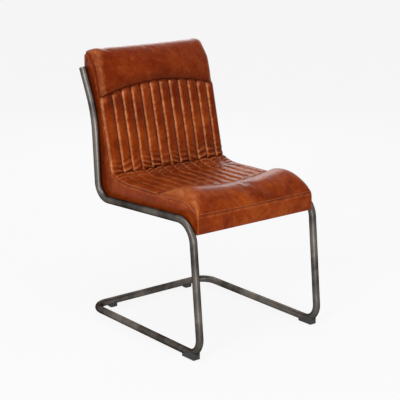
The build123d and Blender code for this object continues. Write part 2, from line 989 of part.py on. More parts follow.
def front_band():
    """Leather band under the front roll, turned under the seat's nose and up behind it."""
    inner = band_bottom + leather
    hem_top = underside(nose_rear, inset) - layer_gap
    with BuildPart() as band:
        with BuildSketch(Plane.XZ.offset(-pad_front)):
            with Locations((0, band_bottom + front_band_height / 2)):
                Rectangle(2 * pad_half, front_band_height - layer_gap)
        extrude(amount=-leather)
        with BuildSketch(Plane.YZ):
            with BuildLine():
                Polyline(
                    (pad_front + leather, band_bottom + layer_gap),
                    (nose_rear, band_bottom + layer_gap),
                    (nose_rear, hem_top),
                    (front_rail_front, hem_top),
                    (front_rail_front, inner),
                    (pad_front + leather, inner),
                    close=True,
                )
            make_face()
        extrude(amount=foam_half, both=True)
    return band.part


def outside_back_lines(depth, top):
    """Outline of the outside back in the side view, at a depth under its skin."""
    offset = back_flush - depth
    FilletPolyline(
        (wrap_end, underside(wrap_end, depth)),
        rear_corner(depth, offset),
        bend_point(offset),
        rear_turn(offset),
        (rear_face - depth, top),
        radius=(
            rail_corner_radius + offset,
            back_bend_radius - offset,
            head_turn_radius - depth,
        ),
    )


def outside_back_panel():
    """Leather over the rear of the back, turned in under the rear corner."""
    top = head_points(0, leather + foam_gap, rear_face)[2][1]
    flat = pad_half - pitch
    half_way = pad_half - pitch / 2
    with BuildPart() as corners:
        for side in sides.values():
            with BuildSketch(Plane.XZ):
                with BuildLine():
                    low = top - fall(pad_half, head_side_fall) - foam_gap
                    ThreePointArc(
                        (side * flat, top),
                        (side * half_way, top - fall(half_way, head_side_fall) - layer_gap),
                        (side * pad_half, low),
                    )
                    Polyline(
                        (side * pad_half, low),
                        (side * pad_half, head_top),
                        (side * flat, head_top),
                        (side * flat, top),
                    )
                make_face()
            extrude(amount=base_depth, both=True)
    with BuildPart() as panel:
        with BuildSketch(Plane.YZ):
            with BuildLine():
                outside_back_lines(0, top)
                Line((rear_face, top), (rear_face - leather, top))
                outside_back_lines(leather, top)
                Line((wrap_end, underside(wrap_end, leather)), (wrap_end, underside(wrap_end, 0)))
            make_face()
        extrude(amount=foam_half, both=True)
        add(corners.part, mode=Mode.SUBTRACT)
    return panel.part


dust_front = nose_rear + layer_gap
dust_rear = wrap_end - layer_gap

# Plane of the timber's underside, with its origin under the rear corner of the seat rail
under_plane = Plane(
    origin=(0, rail_rear[0], underside(rail_rear[0], inset)),
    x_dir=(1, 0, 0),
    z_dir=(0, rail_forward[1], -rail_forward[0]),
)


def along_rail(y):
    """Distance along the underside from that origin, for a place in the side view."""
    return (rail_rear[0] - y) / rail_forward[0]


def dust_cover():
    """Black cloth under the seat."""
    front = along_rail(dust_front)
    rear = along_rail(dust_rear)
    with BuildPart() as cloth:
        with BuildSketch(under_plane):
            with Locations((0, (front + rear) / 2)):
                Rectangle(2 * foam_half, rear - front)
        extrude(amount=-dust_cloth)
    return cloth.part


def dust_staples():
    """Staples that hold the dust cover to the seat rails."""
    front_row = along_rail(front_rail_front + staple_edge)
    rear_row = along_rail(wrap_end - staple_edge)
    half_row = timber_inner - staple_edge
    long_step = (rear_row - front_row) / (staples_per_row + 1)
    wide_step = 2 * half_row / (staples_per_row - 1)
    side_x = foam_half - staple_edge
    numbers = range(staples_per_row)
    across_places = [(-half_row + wide_step * n, y) for n in numbers for y in (front_row, rear_row)]
    along_places = [(x, front_row + long_step * (n + 1)) for n in numbers for x in (-side_x, side_x)]
    with BuildPart() as staples:
        with BuildSketch(under_plane.offset(-dust_cloth)):
            with Locations(*across_places):
                Rectangle(staple_width, staple_wire)
            with Locations(*along_places):
                Rectangle(staple_wire, staple_width)
        extrude(amount=-staple_wire / 2)
    return staples.part


os.makedirs("parts", exist_ok=True)
pieces = {
    "frame_joint_sleeve": frame_joint_sleeve(),
    "tube_end_plugs": tube_end_plugs(),
    "front_glides": front_glides(),
    "rear_glides": rear_glides(),
    "mounting_studs": mounting_studs(),
    "stud_washers": stud_washers(),
    "stud_nuts": stud_nuts(),
    "seat_front_rail": seat_cross_rail(front_rail_front),
    "seat_rear_rail": seat_cross_rail(rear_rail_front),
    "back_lower_rail": back_lower_rail(),
    "back_top_rail": back_top_rail(),
    "corner_blocks": corner_blocks(),
    "corner_brackets": corner_brackets(),
    "bracket_screws": bracket_screws(),
    "seat_webbing": seat_webbing(),
    "back_webbing": back_webbing(),
    "seat_foam": seat_foam(),
    "back_foam": back_foam(),
    "front_roll_foam": front_roll_foam(),
    "head_roll_foam": head_roll_foam(),
    "seat_channel_cover": seat_channel_cover(),
    "back_channel_cover": back_channel_cover(),
    "front_roll_cover": front_roll_cover(),
    "head_roll_cover": head_roll_cover(),
    "front_band": front_band(),
    "outside_back_panel": outside_back_panel(),
    "dust_cover": dust_cover(),
    "dust_staples": dust_staples(),
}
for word, sign in sides.items():
    pieces[f"frame_tube_{word}"] = frame_tube(sign)
    pieces[f"seat_side_rail_{word}"] = seat_side_rail(sign)
    pieces[f"back_upright_{word}"] = back_upright(sign)
    pieces[f"seat_side_panel_{word}"] = seat_side_panel(sign)
    pieces[f"back_side_panel_{word}"] = back_side_panel(sign)

for name, piece in pieces.items():
    piece.label = name
    export_step(piece, f"parts/{name}.step")
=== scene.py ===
import bpy
import json
import math
import numpy as np
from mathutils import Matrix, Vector


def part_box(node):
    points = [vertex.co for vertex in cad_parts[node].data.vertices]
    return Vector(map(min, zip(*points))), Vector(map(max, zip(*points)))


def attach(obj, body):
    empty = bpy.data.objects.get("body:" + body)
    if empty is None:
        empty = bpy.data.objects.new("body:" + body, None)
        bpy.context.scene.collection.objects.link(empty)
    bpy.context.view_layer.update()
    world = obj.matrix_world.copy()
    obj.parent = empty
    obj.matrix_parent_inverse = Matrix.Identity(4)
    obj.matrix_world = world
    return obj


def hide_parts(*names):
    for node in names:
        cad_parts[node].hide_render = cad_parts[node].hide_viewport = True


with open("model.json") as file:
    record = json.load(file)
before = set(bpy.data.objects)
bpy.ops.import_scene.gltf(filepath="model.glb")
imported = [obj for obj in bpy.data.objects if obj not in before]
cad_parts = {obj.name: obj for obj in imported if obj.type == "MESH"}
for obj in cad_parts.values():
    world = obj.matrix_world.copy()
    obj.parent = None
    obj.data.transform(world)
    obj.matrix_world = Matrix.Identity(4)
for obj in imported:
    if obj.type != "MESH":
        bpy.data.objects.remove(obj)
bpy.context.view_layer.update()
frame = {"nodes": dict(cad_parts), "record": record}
scene = bpy.context.scene
scene.view_settings.view_transform = "Standard"
print("chair loaded,", len(frame["nodes"]), "nodes")

# Lines of the upholstered body in metres, as in the CAD apart from the lower edge and tail of the nose
chair = {
    "half": 0.2166, "channels": 12, "lean": math.radians(13.1), "backReach": 0.32,
    "seatTop": 0.444, "front": -0.25621, "frontSeam": 0.414, "rollSide": 0.186, "rollMiddle": 0.138,
    "crease": (0.14329, 0.45727), "creaseRadius": 0.026, "archSide": 0.23369, "archMiddle": 0.26569,
    "riseStart": 0.06629, "riseRadius": 0.230, "riseRun": 0.077,
    "bandBottom": 0.3605, "noseRear": -0.2327, "noseTail": 0.022, "seamFoot": 0.18979,
    "railRear": (0.20479, 0.379), "railSlope": 0.020 / 0.449, "padDrop": 0.0105,
    "wrapEnd": 0.15479, "rearFace": 0.28552,
}
half = chair["half"]
pitch = 2 * half / chair["channels"]
backUp = np.array((math.sin(chair["lean"]), math.cos(chair["lean"])))
backOut = np.array((-backUp[1], backUp[0]))
tiny = 1e-9


# Camera and light

camera = {
    "place": (-2.2395, -2.74838, 1.30423), "azimuth": -39.159, "elevation": 14.689, "lens": 109.26,
    "sensor": 36.0, "farthest": 200.0,
}
studio = {
    "seen": 0.975, "fill": 0.42, "floorSize": 60.0, "floorLit": 0.10, "floorColour": (0.86, 0.86, 0.86),
    "floorRoughness": 0.9,
    "lamps": [  # place, aimed at, size, watts
        ((-3.0, -1.7, 2.3), (0.0, 0.0, 0.5), 0.9, 56.0),
        ((-0.3, -0.6, 3.1), (0.0, 0.0, 0.4), 1.2, 22.0),
        ((-1.7, -2.6, 0.45), (0.0, 0.0, 0.3), 0.9, 32.0),
        ((1.7, 2.3, 1.9), (0.0, 0.0, 0.5), 1.7, 24.0),
    ],
}


def makeCamera():
    bpy.ops.object.camera_add(location=camera["place"])
    cam = bpy.context.object
    a, e = math.radians(camera["azimuth"]), math.radians(camera["elevation"])
    back = Vector((math.sin(a) * math.cos(e), -math.cos(a) * math.cos(e), math.sin(e)))
    cam.rotation_euler = back.to_track_quat("Z", "Y").to_euler()
    cam.data.lens = camera["lens"]
    cam.data.sensor_width = camera["sensor"]
    cam.data.clip_end = camera["farthest"]
    scene.camera = cam


def makeLamps():
    for place, aim, size, watts in studio["lamps"]:
        bpy.ops.object.light_add(type="AREA", location=place)
        lamp = bpy.context.object
        lamp.rotation_euler = (Vector(place) - Vector(aim)).to_track_quat("Z", "Y").to_euler()
        lamp.data.size = size
        lamp.data.energy = watts


# Shader maths: a socket that takes part in Python expressions

class Wire:
    def __init__(self, paint, socket):
        self.paint, self.socket = paint, socket

    def __add__(self, other):
        return self.paint.maths("ADD", self, other)

    def __radd__(self, other):
        return self.paint.maths("ADD", other, self)

    def __sub__(self, other):
        return self.paint.maths("SUBTRACT", self, other)

    def __rsub__(self, other):
        return self.paint.maths("SUBTRACT", other, self)

    def __mul__(self, other):
        return self.paint.maths("MULTIPLY", self, other)

    def __rmul__(self, other):
        return self.paint.maths("MULTIPLY", other, self)


class Paint:
    def __init__(self, tree):
        self.tree = tree

    def plug(self, socket, value):
        if isinstance(value, Wire):
            self.tree.links.new(value.socket, socket)
        elif isinstance(value, tuple) and len(value) == 3 and len(socket.default_value) == 4:
            socket.default_value = (*value, 1.0)
        else:
            socket.default_value = value

    def node(self, kind, settings=None, inputs=None, output=0):
        made = self.tree.nodes.new("ShaderNode" + kind)
        for key, value in (settings or {}).items():
            if key == "stops":
                ramp = made.color_ramp.elements
                while len(ramp) < len(value):
                    ramp.new(0.5)
                for element, (place, colour) in zip(ramp, value):
                    element.position = place
                    element.color = (*colour, 1.0)
            else:
                setattr(made, key, value)
        for key, value in (inputs or {}).items():
            self.plug(made.inputs[key], value)
        return Wire(self, made.outputs[output])

    def maths(self, operation, a, b):
        return self.node("Math", {"operation": operation}, {0: a, 1: b})

    def between(self, value, low, high):
        return self.node("MapRange", {"interpolation_type": "SMOOTHSTEP"}, {0: value, 1: low, 2: high})

    def mix(self, factor, a, b, blend="MIX"):
        return self.node("Mix", {"data_type": "RGBA", "blend_type": blend}, {0: factor, 6: a, 7: b}, 2)

    def noise(self, place, scale, detail=4.0, rough=0.55, twist=0.0):
        values = {"Vector": place, "Scale": scale, "Detail": detail, "Roughness": rough, "Distortion": twist}
        return self.node("TexNoise", None, values)

    def voronoi(self, place, feature, scale):
        return self.node("TexVoronoi", {"feature": feature}, {"Vector": place, "Scale": scale})

    def bump(self, height, size, after=None):
        values = {"Height": height, "Distance": size[0], "Strength": size[1]}
        if after is not None:
            values["Normal"] = after
        return self.node("Bump", None, values)


def newPaint(name):
    material = bpy.data.materials.new(name)
    material.use_nodes = True
    paint = Paint(material.node_tree)
    paint.material = material
    paint.shader = material.node_tree.nodes["Principled BSDF"]
    paint.place = paint.node("TexCoord", output=3)
    return paint


def finishPaint(paint, values):
    for key, value in values.items():
        paint.plug(paint.shader.inputs[key], value)
    return paint.material


# Materials: a noise is given by scale, detail, roughness and twist, a bump by distance and strength

leatherLook = {
    "dark": (0.095, 0.007, 0.0004), "mid": (0.215, 0.028, 0.0018), "tan": (0.34, 0.070, 0.008),
    "toneStops": (0.36, 0.5, 0.66), "toneShares": (0.65, 0.25, 0.1),
    "cloud": (5.5, 5.0, 0.6, 0.8), "patch": (34.0, 5.0, 0.62, 1.2), "fine": (210.0, 3.0, 0.6),
    "shade": (0.64, 0.44, 0.5), "paintedShadeHeights": (0.42, 0.72),  # painted shade: darker with height, deepest on the back and head
    # pale colour of wear and of painted highlights; the pale cracks use it too
    "wornAndHighlight": (0.58, 0.21, 0.08), "wornAndHighlightEven": 0.4, "wornAndHighlightPatchy": 0.6, "patchy": (0.4, 0.62),
    # dark colour of the painted shade in grooves, creases, under the rolls and at joins
    "paintedSeamShade": (0.050, 0.006, 0.0006), "paintedSeamShadeShare": 0.8,
    "drift": 26.0, "driftReach": 0.02, "crackScale": 55.0, "crackWidth": 0.05, "crackPale": 0.07,
    "crackBump": (-0.0003, 0.5), "pebbleScale": 620.0, "pebbleBump": (0.00022, 0.55),
    "patchBump": (0.0016, 0.35), "roughness": 0.22, "patchRough": 0.2, "fineRough": 0.06,
    "specular": 0.14, "gloss": (1.0, 0.45, 0.16),
}


def makeLeather():
    look = leatherLook
    paint = newPaint("tanLeather")
    cloud, patch, fine = [paint.noise(paint.place, *look[key]) for key in ("cloud", "patch", "fine")]
    cloudShare, patchShare, fineShare = look["toneShares"]
    tone = cloud * cloudShare + patch * patchShare + fine * fineShare
    stops = list(zip(look["toneStops"], (look["dark"], look["mid"], look["tan"])))
    colour = paint.node("ValToRGB", {"stops": stops}, {0: tone})
    level = paint.node("SeparateXYZ", None, {0: paint.place}, 2)
    # Painted shade: the colour is multiplied darker between the two heights, where the back and head take
    # less light
    colour = paint.mix(paint.between(level, *look["paintedShadeHeights"]), colour, look["shade"], "MULTIPLY")
    seam = paint.node("Attribute", {"attribute_name": "seam"}, output=2)
    rub = paint.node("Attribute", {"attribute_name": "rub"}, output=2)
    patchy = paint.between(patch, *look["patchy"])
    # Paler where the pale mark is set: partly wear, partly painted highlights on one channel flank, tuck
    # crests, turned roll ends and panel edges
    colour = paint.mix(rub * (look["wornAndHighlightEven"] + look["wornAndHighlightPatchy"] * patchy), colour, look["wornAndHighlight"])
    # Painted shade: darker where the seam mark is set, in the grooves, on one channel flank, in creases and
    # tuck troughs, under the rolls and at panel joins
    colour = paint.mix(seam * look["paintedSeamShadeShare"], colour, look["paintedSeamShade"])
    drift = {0: paint.noise(paint.place, look["drift"]), 1: (look["driftReach"],) * 3, 2: paint.place}
    drifted = paint.node("VectorMath", {"operation": "MULTIPLY_ADD"}, drift)
    cracks = paint.voronoi(drifted, "DISTANCE_TO_EDGE", look["crackScale"])
    crackLine = 1 - paint.between(cracks, 0.0, look["crackWidth"])
    colour = paint.mix(crackLine * patchy * look["crackPale"], colour, look["wornAndHighlight"])
    pebbles = paint.voronoi(paint.place, "SMOOTH_F1", look["pebbleScale"])
    normal = paint.bump(pebbles, look["pebbleBump"])
    normal = paint.bump(crackLine, look["crackBump"], normal)
    normal = paint.bump(patch, look["patchBump"], normal)
    return finishPaint(paint, {
        "Base Color": colour, "Normal": normal,
        "Roughness": look["roughness"] + look["patchRough"] * patch + look["fineRough"] * fine,
        "Specular IOR Level": look["specular"], "Specular Tint": look["gloss"],
    })


steelLook = {
    "base": (0.170, 0.151, 0.135), "dark": (0.052, 0.046, 0.041), "edge": (0.10, 0.09, 0.08),
    "blotch": (8.0, 4.0, 0.6, 0.6), "blotchShare": 0.85, "contrast": (0.34, 0.66),
    "speck": (340.0, 4.0, 0.65), "speckShare": 0.15, "speckRough": 0.14, "speckBump": (0.00010, 0.3),
    "roughness": 0.34,
}


def makeDarkSteel():
    look = steelLook
    paint = newPaint("darkSteel")
    blotch = paint.noise(paint.place, *look["blotch"])
    speck = paint.noise(paint.place, *look["speck"])
    tone = blotch * look["blotchShare"] + speck * look["speckShare"]
    return finishPaint(paint, {
        "Base Color": paint.mix(paint.between(tone, *look["contrast"]), look["dark"], look["base"]),
        "Metallic": 1.0, "Roughness": look["roughness"] + look["speckRough"] * speck,
        "Specular Tint": look["edge"], "Normal": paint.bump(speck, look["speckBump"]),
    })


zincLook = {
    "dark": (0.42, 0.42, 0.41), "light": (0.62, 0.62, 0.60), "speckScale": 260.0, "roughness": 0.3,
    "speckRough": 0.12,
}


def makePlainSteel():
    look = zincLook
    paint = newPaint("zincSteel")
    speck = paint.noise(paint.place, look["speckScale"])
    return finishPaint(paint, {
        "Base Color": paint.mix(speck, look["dark"], look["light"]), "Metallic": 1.0,
        "Roughness": look["roughness"] + look["speckRough"] * speck,
    })


plasticLook = {
    "dark": (0.010, 0.009, 0.009), "light": (0.022, 0.020, 0.019), "speck": (700.0, 2.0),
    "roughness": 0.5, "speckRough": 0.15, "speckBump": (0.0001, 0.5),
}


def makeBlackPlastic():
    look = plasticLook
    paint = newPaint("blackPlastic")
    speck = paint.noise(paint.place, *look["speck"])
    return finishPaint(paint, {
        "Base Color": paint.mix(speck, look["dark"], look["light"]),
        "Roughness": look["roughness"] + look["speckRough"] * speck,
        "Normal": paint.bump(speck, look["speckBump"]),
    })


plywoodLook = {
    "dark": (0.34, 0.20, 0.10), "light": (0.68, 0.48, 0.29), "stretch": (1.0, 0.12, 1.0),
    "grain": (90.0, 6.0, 0.6, 1.5), "grainBump": (0.0004, 0.4), "roughness": 0.62,
}


def makePlywood():
    look = plywoodLook
    paint = newPaint("plywood")
    stretched = paint.node("Mapping", None, {"Vector": paint.place, "Scale": look["stretch"]})
    grain = paint.noise(stretched, *look["grain"])
    return finishPaint(paint, {
        "Base Color": paint.mix(grain, look["dark"], look["light"]), "Roughness": look["roughness"],
        "Normal": paint.bump(grain, look["grainBump"]),
    })


wovenLook = {
    "webbing": ((0.10, 0.08, 0.055), (0.36, 0.30, 0.22), 120.0),  # dark, light, fineness
    "blackCloth": ((0.008, 0.008, 0.008), (0.03, 0.03, 0.03), 260.0),
    "foam": ((0.70, 0.64, 0.46), (0.86, 0.80, 0.62), 60.0),
    "roughness": 0.85, "weaveBump": (0.0004, 0.6),
}


def makeWoven(name):
    dark, light, fineness = wovenLook[name]
    paint = newPaint(name)
    place = {"Vector": paint.place, "Scale": fineness}
    across = paint.node("TexWave", {"bands_direction": "X"}, place)
    along = paint.node("TexWave", {"bands_direction": "Y"}, place)
    weave = across * along
    return finishPaint(paint, {
        "Base Color": paint.mix(weave, dark, light), "Roughness": wovenLook["roughness"],
        "Normal": paint.bump(weave, wovenLook["weaveBump"]),
    })


threadLook = {
    "dark": (0.36, 0.16, 0.08), "light": (0.56, 0.31, 0.18), "twist": (900.0, 2.0), "roughness": 0.7,
    "specular": 0.05,
}


def makeThread():
    look = threadLook
    paint = newPaint("thread")
    twist = paint.noise(paint.place, *look["twist"])
    return finishPaint(paint, {
        "Base Color": paint.mix(twist, look["dark"], look["light"]), "Roughness": look["roughness"],
        "Specular IOR Level": look["specular"],
    })


# Floor and world, which look pale and even to the camera and in reflections

def directRays(paint):
    kinds = ("Is Camera Ray", "Is Glossy Ray", "Is Transmission Ray")
    seen, mirrored, through = [paint.node("LightPath", output=kind) for kind in kinds]
    return seen + mirrored + through


def makeFloor():
    bpy.ops.mesh.primitive_plane_add(size=studio["floorSize"])
    floor = bpy.context.object
    floor.name = "floor"
    paint = newPaint("paleFloor")
    finishPaint(paint, {
        "Base Color": studio["floorColour"], "Roughness": studio["floorRoughness"], "Specular IOR Level": 0.0,
    })
    lit = Wire(paint, paint.shader.outputs[0])
    seen = paint.node("Emission", None, {"Color": (studio["seen"],) * 3, "Strength": 1.0})
    share = directRays(paint) * (1 - studio["floorLit"])
    mixed = paint.node("MixShader", None, {0: share, 1: lit, 2: seen})
    paint.plug(paint.tree.nodes["Material Output"].inputs["Surface"], mixed)
    floor.data.materials.append(paint.material)


def makeWorld():
    scene.world = bpy.data.worlds.new("studioWorld")
    scene.world.use_nodes = True
    nodes = scene.world.node_tree.nodes
    paint = Paint(scene.world.node_tree)
    paint.plug(nodes["Background"].inputs["Color"], (1.0, 1.0, 1.0))
    paint.plug(nodes["Background"].inputs["Strength"], studio["fill"])
    fill = Wire(paint, nodes["Background"].outputs[0])
    seen = paint.node("Background", None, {"Color": (studio["seen"],) * 3, "Strength": 1.0})
    mixed = paint.node("MixShader", None, {0: directRays(paint), 1: fill, 2: seen})
    paint.plug(nodes["World Output"].inputs["Surface"], mixed)


# Lines and curves for shaping the soft pieces

padSteps = {"flat": 200, "rise": 60, "fold": 41, "back": 200}
sharpFrom = {"pad": math.radians(60), "sheet": math.radians(50)}  # edges that turn more stay sharp


def arch(x, side, middle):
    rise = middle - side
    radius = (half**2 + rise**2) / (2 * rise)
    return middle - np.sign(rise) * (abs(radius) - np.sqrt(radius**2 - x**2))


def bell(distance, reach):
    return np.exp(-(distance / reach)**2)


def bend(first, corner, last, t):
    return first * (1 - t)**2 + corner * 2 * t * (1 - t) + last * t**2


def underside(y):
    return chair["railRear"][1] + (chair["railRear"][0] - y) * chair["railSlope"] - chair["padDrop"]


def backPoint(up):
    return np.array(chair["crease"]) + up * backUp


def walkedAlong(line):
    return np.concatenate([[0], np.cumsum(np.linalg.norm(np.diff(line, axis=0), axis=1))])


def makePadLine():  # side view of the channelled leather: seat, fold and back in one line
    crease, radius = np.array(chair["crease"]), chair["riseRadius"]
    rise = math.asin(chair["riseRun"] / radius)
    reach = chair["creaseRadius"] * math.tan((math.pi / 2 - chair["lean"] - rise) / 2)
    flat = np.linspace(chair["front"], chair["riseStart"], padSteps["flat"])
    level = np.stack([flat, np.full_like(flat, chair["seatTop"])], -1)
    turn = np.linspace(0, rise - reach / radius, padSteps["rise"])[1:]
    centre = np.array((chair["riseStart"], chair["seatTop"] + radius))
    rising = centre + radius * np.stack([np.sin(turn), -np.cos(turn)], -1)
    fold = bend(rising[-1], crease, backPoint(reach), np.linspace(0, 1, padSteps["fold"])[1:, None])
    up = np.linspace(reach, chair["backReach"], padSteps["back"])[1:, None]
    line = np.concatenate([level, rising, fold, crease + up * backUp])
    walked = walkedAlong(line)
    tangent = np.gradient(line, walked, axis=0)
    tangent /= np.linalg.norm(tangent, axis=1)[:, None]
    foldStart = len(level) + len(rising)
    walked -= walked[foldStart + len(fold) // 2]
    return {
        "line": line, "normal": np.stack([-tangent[:, 1], tangent[:, 0]], -1), "walked": walked,
        "front": walked[0], "back": walked[foldStart + len(fold) - 1] - reach,
    }


def alongPad(s):  # s is measured from the fold, forward below nought and up the back above it
    pick = lambda values: np.stack([np.interp(s, padLine["walked"], values[:, k]) for k in (0, 1)], -1)
    normal = pick(padLine["normal"])
    return pick(padLine["line"]), normal / np.linalg.norm(normal, axis=-1)[..., None]


padLine = makePadLine()


def arcPoints(start, end, bulge, count, skew=1.0):
    start, end = np.array(start), np.array(end)
    t = np.linspace(0, 1, count)[:, None]
    chord = end - start
    out = np.array([-chord[1], chord[0]]) / np.hypot(*chord)
    return start + chord * t + out * bulge * np.sin(math.pi * t**skew)


def respace(points, count=None, step=None):
    walked = walkedAlong(points)
    count = count or max(2, int(round(walked[-1] / step)) + 1)
    spots = np.linspace(0, walked[-1], count)
    return np.stack([np.interp(spots, walked, points[:, k]) for k in range(points.shape[1])], -1)


def filletPath(corners, radii, step=0.003, bendSteps=14):
    corners = [np.array(c, float) for c in corners]
    path = [corners[0]]
    for before, corner, after, radius in zip(corners, corners[1:], corners[2:], radii):
        into, out = corner - before, after - corner
        into, out = into / np.hypot(*into), out / np.hypot(*out)
        turn = math.acos(max(-1, min(1, float(into @ out))))
        reach = radius * math.tan(turn / 2)
        for t in np.linspace(0, 1, bendSteps):
            path.append(bend(corner - into * reach, corner, corner + out * reach, t))
    path.append(corners[-1])
    return respace(np.array(path), step=step)


def smoothLine(points, rounds):
    points = points.copy()
    for _ in range(rounds):
        points[1:-1] = points[1:-1] * 0.5 + (points[:-2] + points[2:]) * 0.25
    return points


def leftOf(line):  # unit normals on the left of the way along a line in side view
    tangent = np.gradient(line, axis=0)
    normal = np.stack([-tangent[:, 1], tangent[:, 0]], -1)
    return normal / np.maximum(np.linalg.norm(normal, axis=1), tiny)[:, None]


def roundedEdges(flat, limit, radius, turn):  # x where both side edges turn over, and how far they turn
    over = np.maximum(np.abs(flat) - (limit - radius), 0) / radius * turn
    return np.sign(flat) * (np.minimum(np.abs(flat), limit - radius) + radius * np.sin(over)), over


def edgeSpread(count, ease=1.7):  # shares from 0 to 1, closer together at both edges
    t = np.linspace(-1, 1, count)
    return (np.sign(t) * (1 - (1 - np.abs(t))**ease) + 1) / 2


def withX(x, yz):
    return np.concatenate([np.broadcast_to(x[..., None], (*yz.shape[:-1], 1)), yz], -1)


# Meshes

def newPiece(name, points, faces):
    mesh = bpy.data.meshes.new(name)
    mesh.from_pydata([tuple(p) for p in points], [], faces)
    mesh.update()
    piece = bpy.data.objects.new(name, mesh)
    scene.collection.objects.link(piece)
    return piece


def only(piece):
    bpy.ops.object.select_all(action="DESELECT")
    piece.select_set(True)
    bpy.context.view_layer.objects.active = piece


def outward(piece):
    only(piece)
    bpy.ops.object.mode_set(mode="EDIT")
    bpy.ops.mesh.select_all(action="SELECT")
    bpy.ops.mesh.normals_make_consistent(inside=False)
    bpy.ops.object.mode_set(mode="OBJECT")
    bpy.ops.object.shade_smooth()


def ringPiece(name, rings):
    count, around = rings.shape[:2]
    base, last = count * around, (count - 1) * around
    sides = [(i, (i + 1) % around) for i in range(around)]
    faces = [(r + i, r + j, r + around + j, r + around + i) for r in range(0, last, around) for i, j in sides]
    for i, j in sides:
        faces.append((base, j, i))
        faces.append((base + 1, last + i, last + j))
    ends = np.array([rings[0].mean(0), rings[-1].mean(0)])
    piece = newPiece(name, np.concatenate([rings.reshape(-1, 3), ends]), faces)
    outward(piece)
    sharp = piece.data.attributes.new("crease_edge", "FLOAT", "EDGE")  # keeps both end rings in place
    for line in piece.data.edges:
        a, b = sorted(line.vertices)
        sharp.data[line.index].value = float(b < around or last <= a < base and b < base)
    return piece


def sheetGrid(name, grid):
    rows, columns = grid.shape[:2]
    faces = [(r * columns + c, r * columns + c + 1, (r + 1) * columns + c + 1, (r + 1) * columns + c)
             for r in range(rows - 1) for c in range(columns - 1)]
    return newPiece(name, grid.reshape(-1, 3), faces)


def places(piece):
    co = np.zeros(len(piece.data.vertices) * 3)
    piece.data.vertices.foreach_get("co", co)
    return co.reshape(-1, 3)


def moveTo(piece, points):
    piece.data.vertices.foreach_set("co", points.astype(np.float32).ravel())
    piece.data.update()


def mark(piece, name, values):
    layer = piece.data.attributes.new(name, "FLOAT", "POINT")
    layer.data.foreach_set("value", np.clip(values, 0, 1).astype(np.float32).ravel())


def applied(piece, kind, **settings):
    only(piece)
    modifier = piece.modifiers.new(kind.lower(), kind)
    for key, value in settings.items():
        setattr(modifier, key, value)
    bpy.ops.object.modifier_apply(modifier=modifier.name)


def closeSheet(piece, thickness, toward):
    total = sum((Vector(f.normal) * f.area for f in piece.data.polygons), Vector())
    if total.dot(Vector(toward)) < 0:
        piece.data.flip_normals()
    applied(piece, "SOLIDIFY", thickness=thickness, offset=-1.0)
    bpy.ops.object.shade_smooth_by_angle(angle=sharpFrom["sheet"])


# Stuffing: pressure swells a closed piece between the points that its seams hold

stuffing = {"frames": 20, "stiffness": 14.0, "shear": 14.0 / 3, "bending": 0.6, "mass": 0.2, "quality": 6}


def inflate(piece, held, look):
    before = places(piece)
    sewn = piece.vertex_groups.new(name="sewn")
    sewn.add([int(i) for i in np.flatnonzero(held)], 1.0, "REPLACE")
    only(piece)
    cloth = piece.modifiers.new("stuffing", "CLOTH")
    fabric = cloth.settings
    fabric.quality = stuffing["quality"]
    fabric.mass = stuffing["mass"]
    fabric.tension_stiffness = stuffing["stiffness"]
    fabric.compression_stiffness = stuffing["stiffness"]
    fabric.shear_stiffness = stuffing["shear"]
    fabric.bending_stiffness = stuffing["bending"]
    fabric.vertex_group_mass = sewn.name
    fabric.use_pressure = True
    fabric.uniform_pressure_force = look["pressure"]
    fabric.shrink_min = -look["growth"]
    fabric.effector_weights.gravity = 0.0
    cloth.point_cache.frame_end = stuffing["frames"]
    for number in range(1, stuffing["frames"] + 1):
        scene.frame_set(number)
    bpy.ops.object.modifier_apply(modifier=cloth.name)
    scene.frame_set(1)
    moved = places(piece) - before
    length = np.linalg.norm(moved, axis=1)
    kept = look["cap"] * np.tanh(length / look["cap"])
    moveTo(piece, before + moved * (kept / np.maximum(length, tiny))[:, None])
    piece.vertex_groups.clear()
    print(piece.name, "stuffed, moved", round(float(kept.max()) * 1000, 1), "mm at most,",
          round(float(np.median(kept[~held])) * 1000, 1), "mm in the middle")


def stuff(piece, free, look):  # free says which points of the rings the pressure may move
    held = np.ones(len(piece.data.vertices), bool)
    held[:free.size] = ~free.ravel()
    inflate(piece, held, look)
    return places(piece)[:free.size].reshape(*free.shape, 3)


def finishPad(piece, seam, rub, endSeam):
    mark(piece, "seam", np.append(seam, [endSeam] * 2))
    mark(piece, "rub", np.append(rub, [0] * 2))
    applied(piece, "SUBSURF", levels=1, render_levels=1)
    bpy.ops.object.shade_smooth_by_angle(angle=sharpFrom["pad"])


def settle(piece, *nodes, fill=0.85):
    piece.data.materials.append(paints["tan_leather"])
    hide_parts(*nodes)
    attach(piece, "root")


# Channelled seat and back

channelled = {
    "samples": 14, "rows": 104, "power": 2.3, "groove": 0.0012, "onSeam": 0.999, "edgeTurn": math.radians(75),
    "fadeFrom": -0.17, "fadeRun": 0.19, "fadeFill": 0.8,  # where the near side has flatter channels
    "lip": ((0.0035, 0.003), (0.006, 0.006)),  # in from the side and down, under the turned edge
    "tuck": 0.004, "tuckReach": 0.006, "creaseDip": 0.0020, "creaseReach": 0.004, "creaseSide": 0.3,
    "endRows": 2, "freeTurn": 0.3, "cap": 0.0022, "pressure": 4.0, "growth": 0.02,
}
# One share per pad scales the painted flank shade and the painted highlights, partly wear
seatChannels = {"depth": 0.0385, "crown": 0.0046, "radius": 0.007, "paintedLightAndWear": 0.45, "nearSide": 0.3}
backChannels = {"depth": 0.020, "crown": 0.0062, "radius": 0.019, "paintedLightAndWear": 1.0, "nearSide": 1.0}
tucks = {
    "seed": 11, "height": 0.0046, "length": (0.014, 0.024), "slant": (-0.012, 0.012), "size": (0.4, 1.3),
    "reach": 0.030, "power": 3,
}
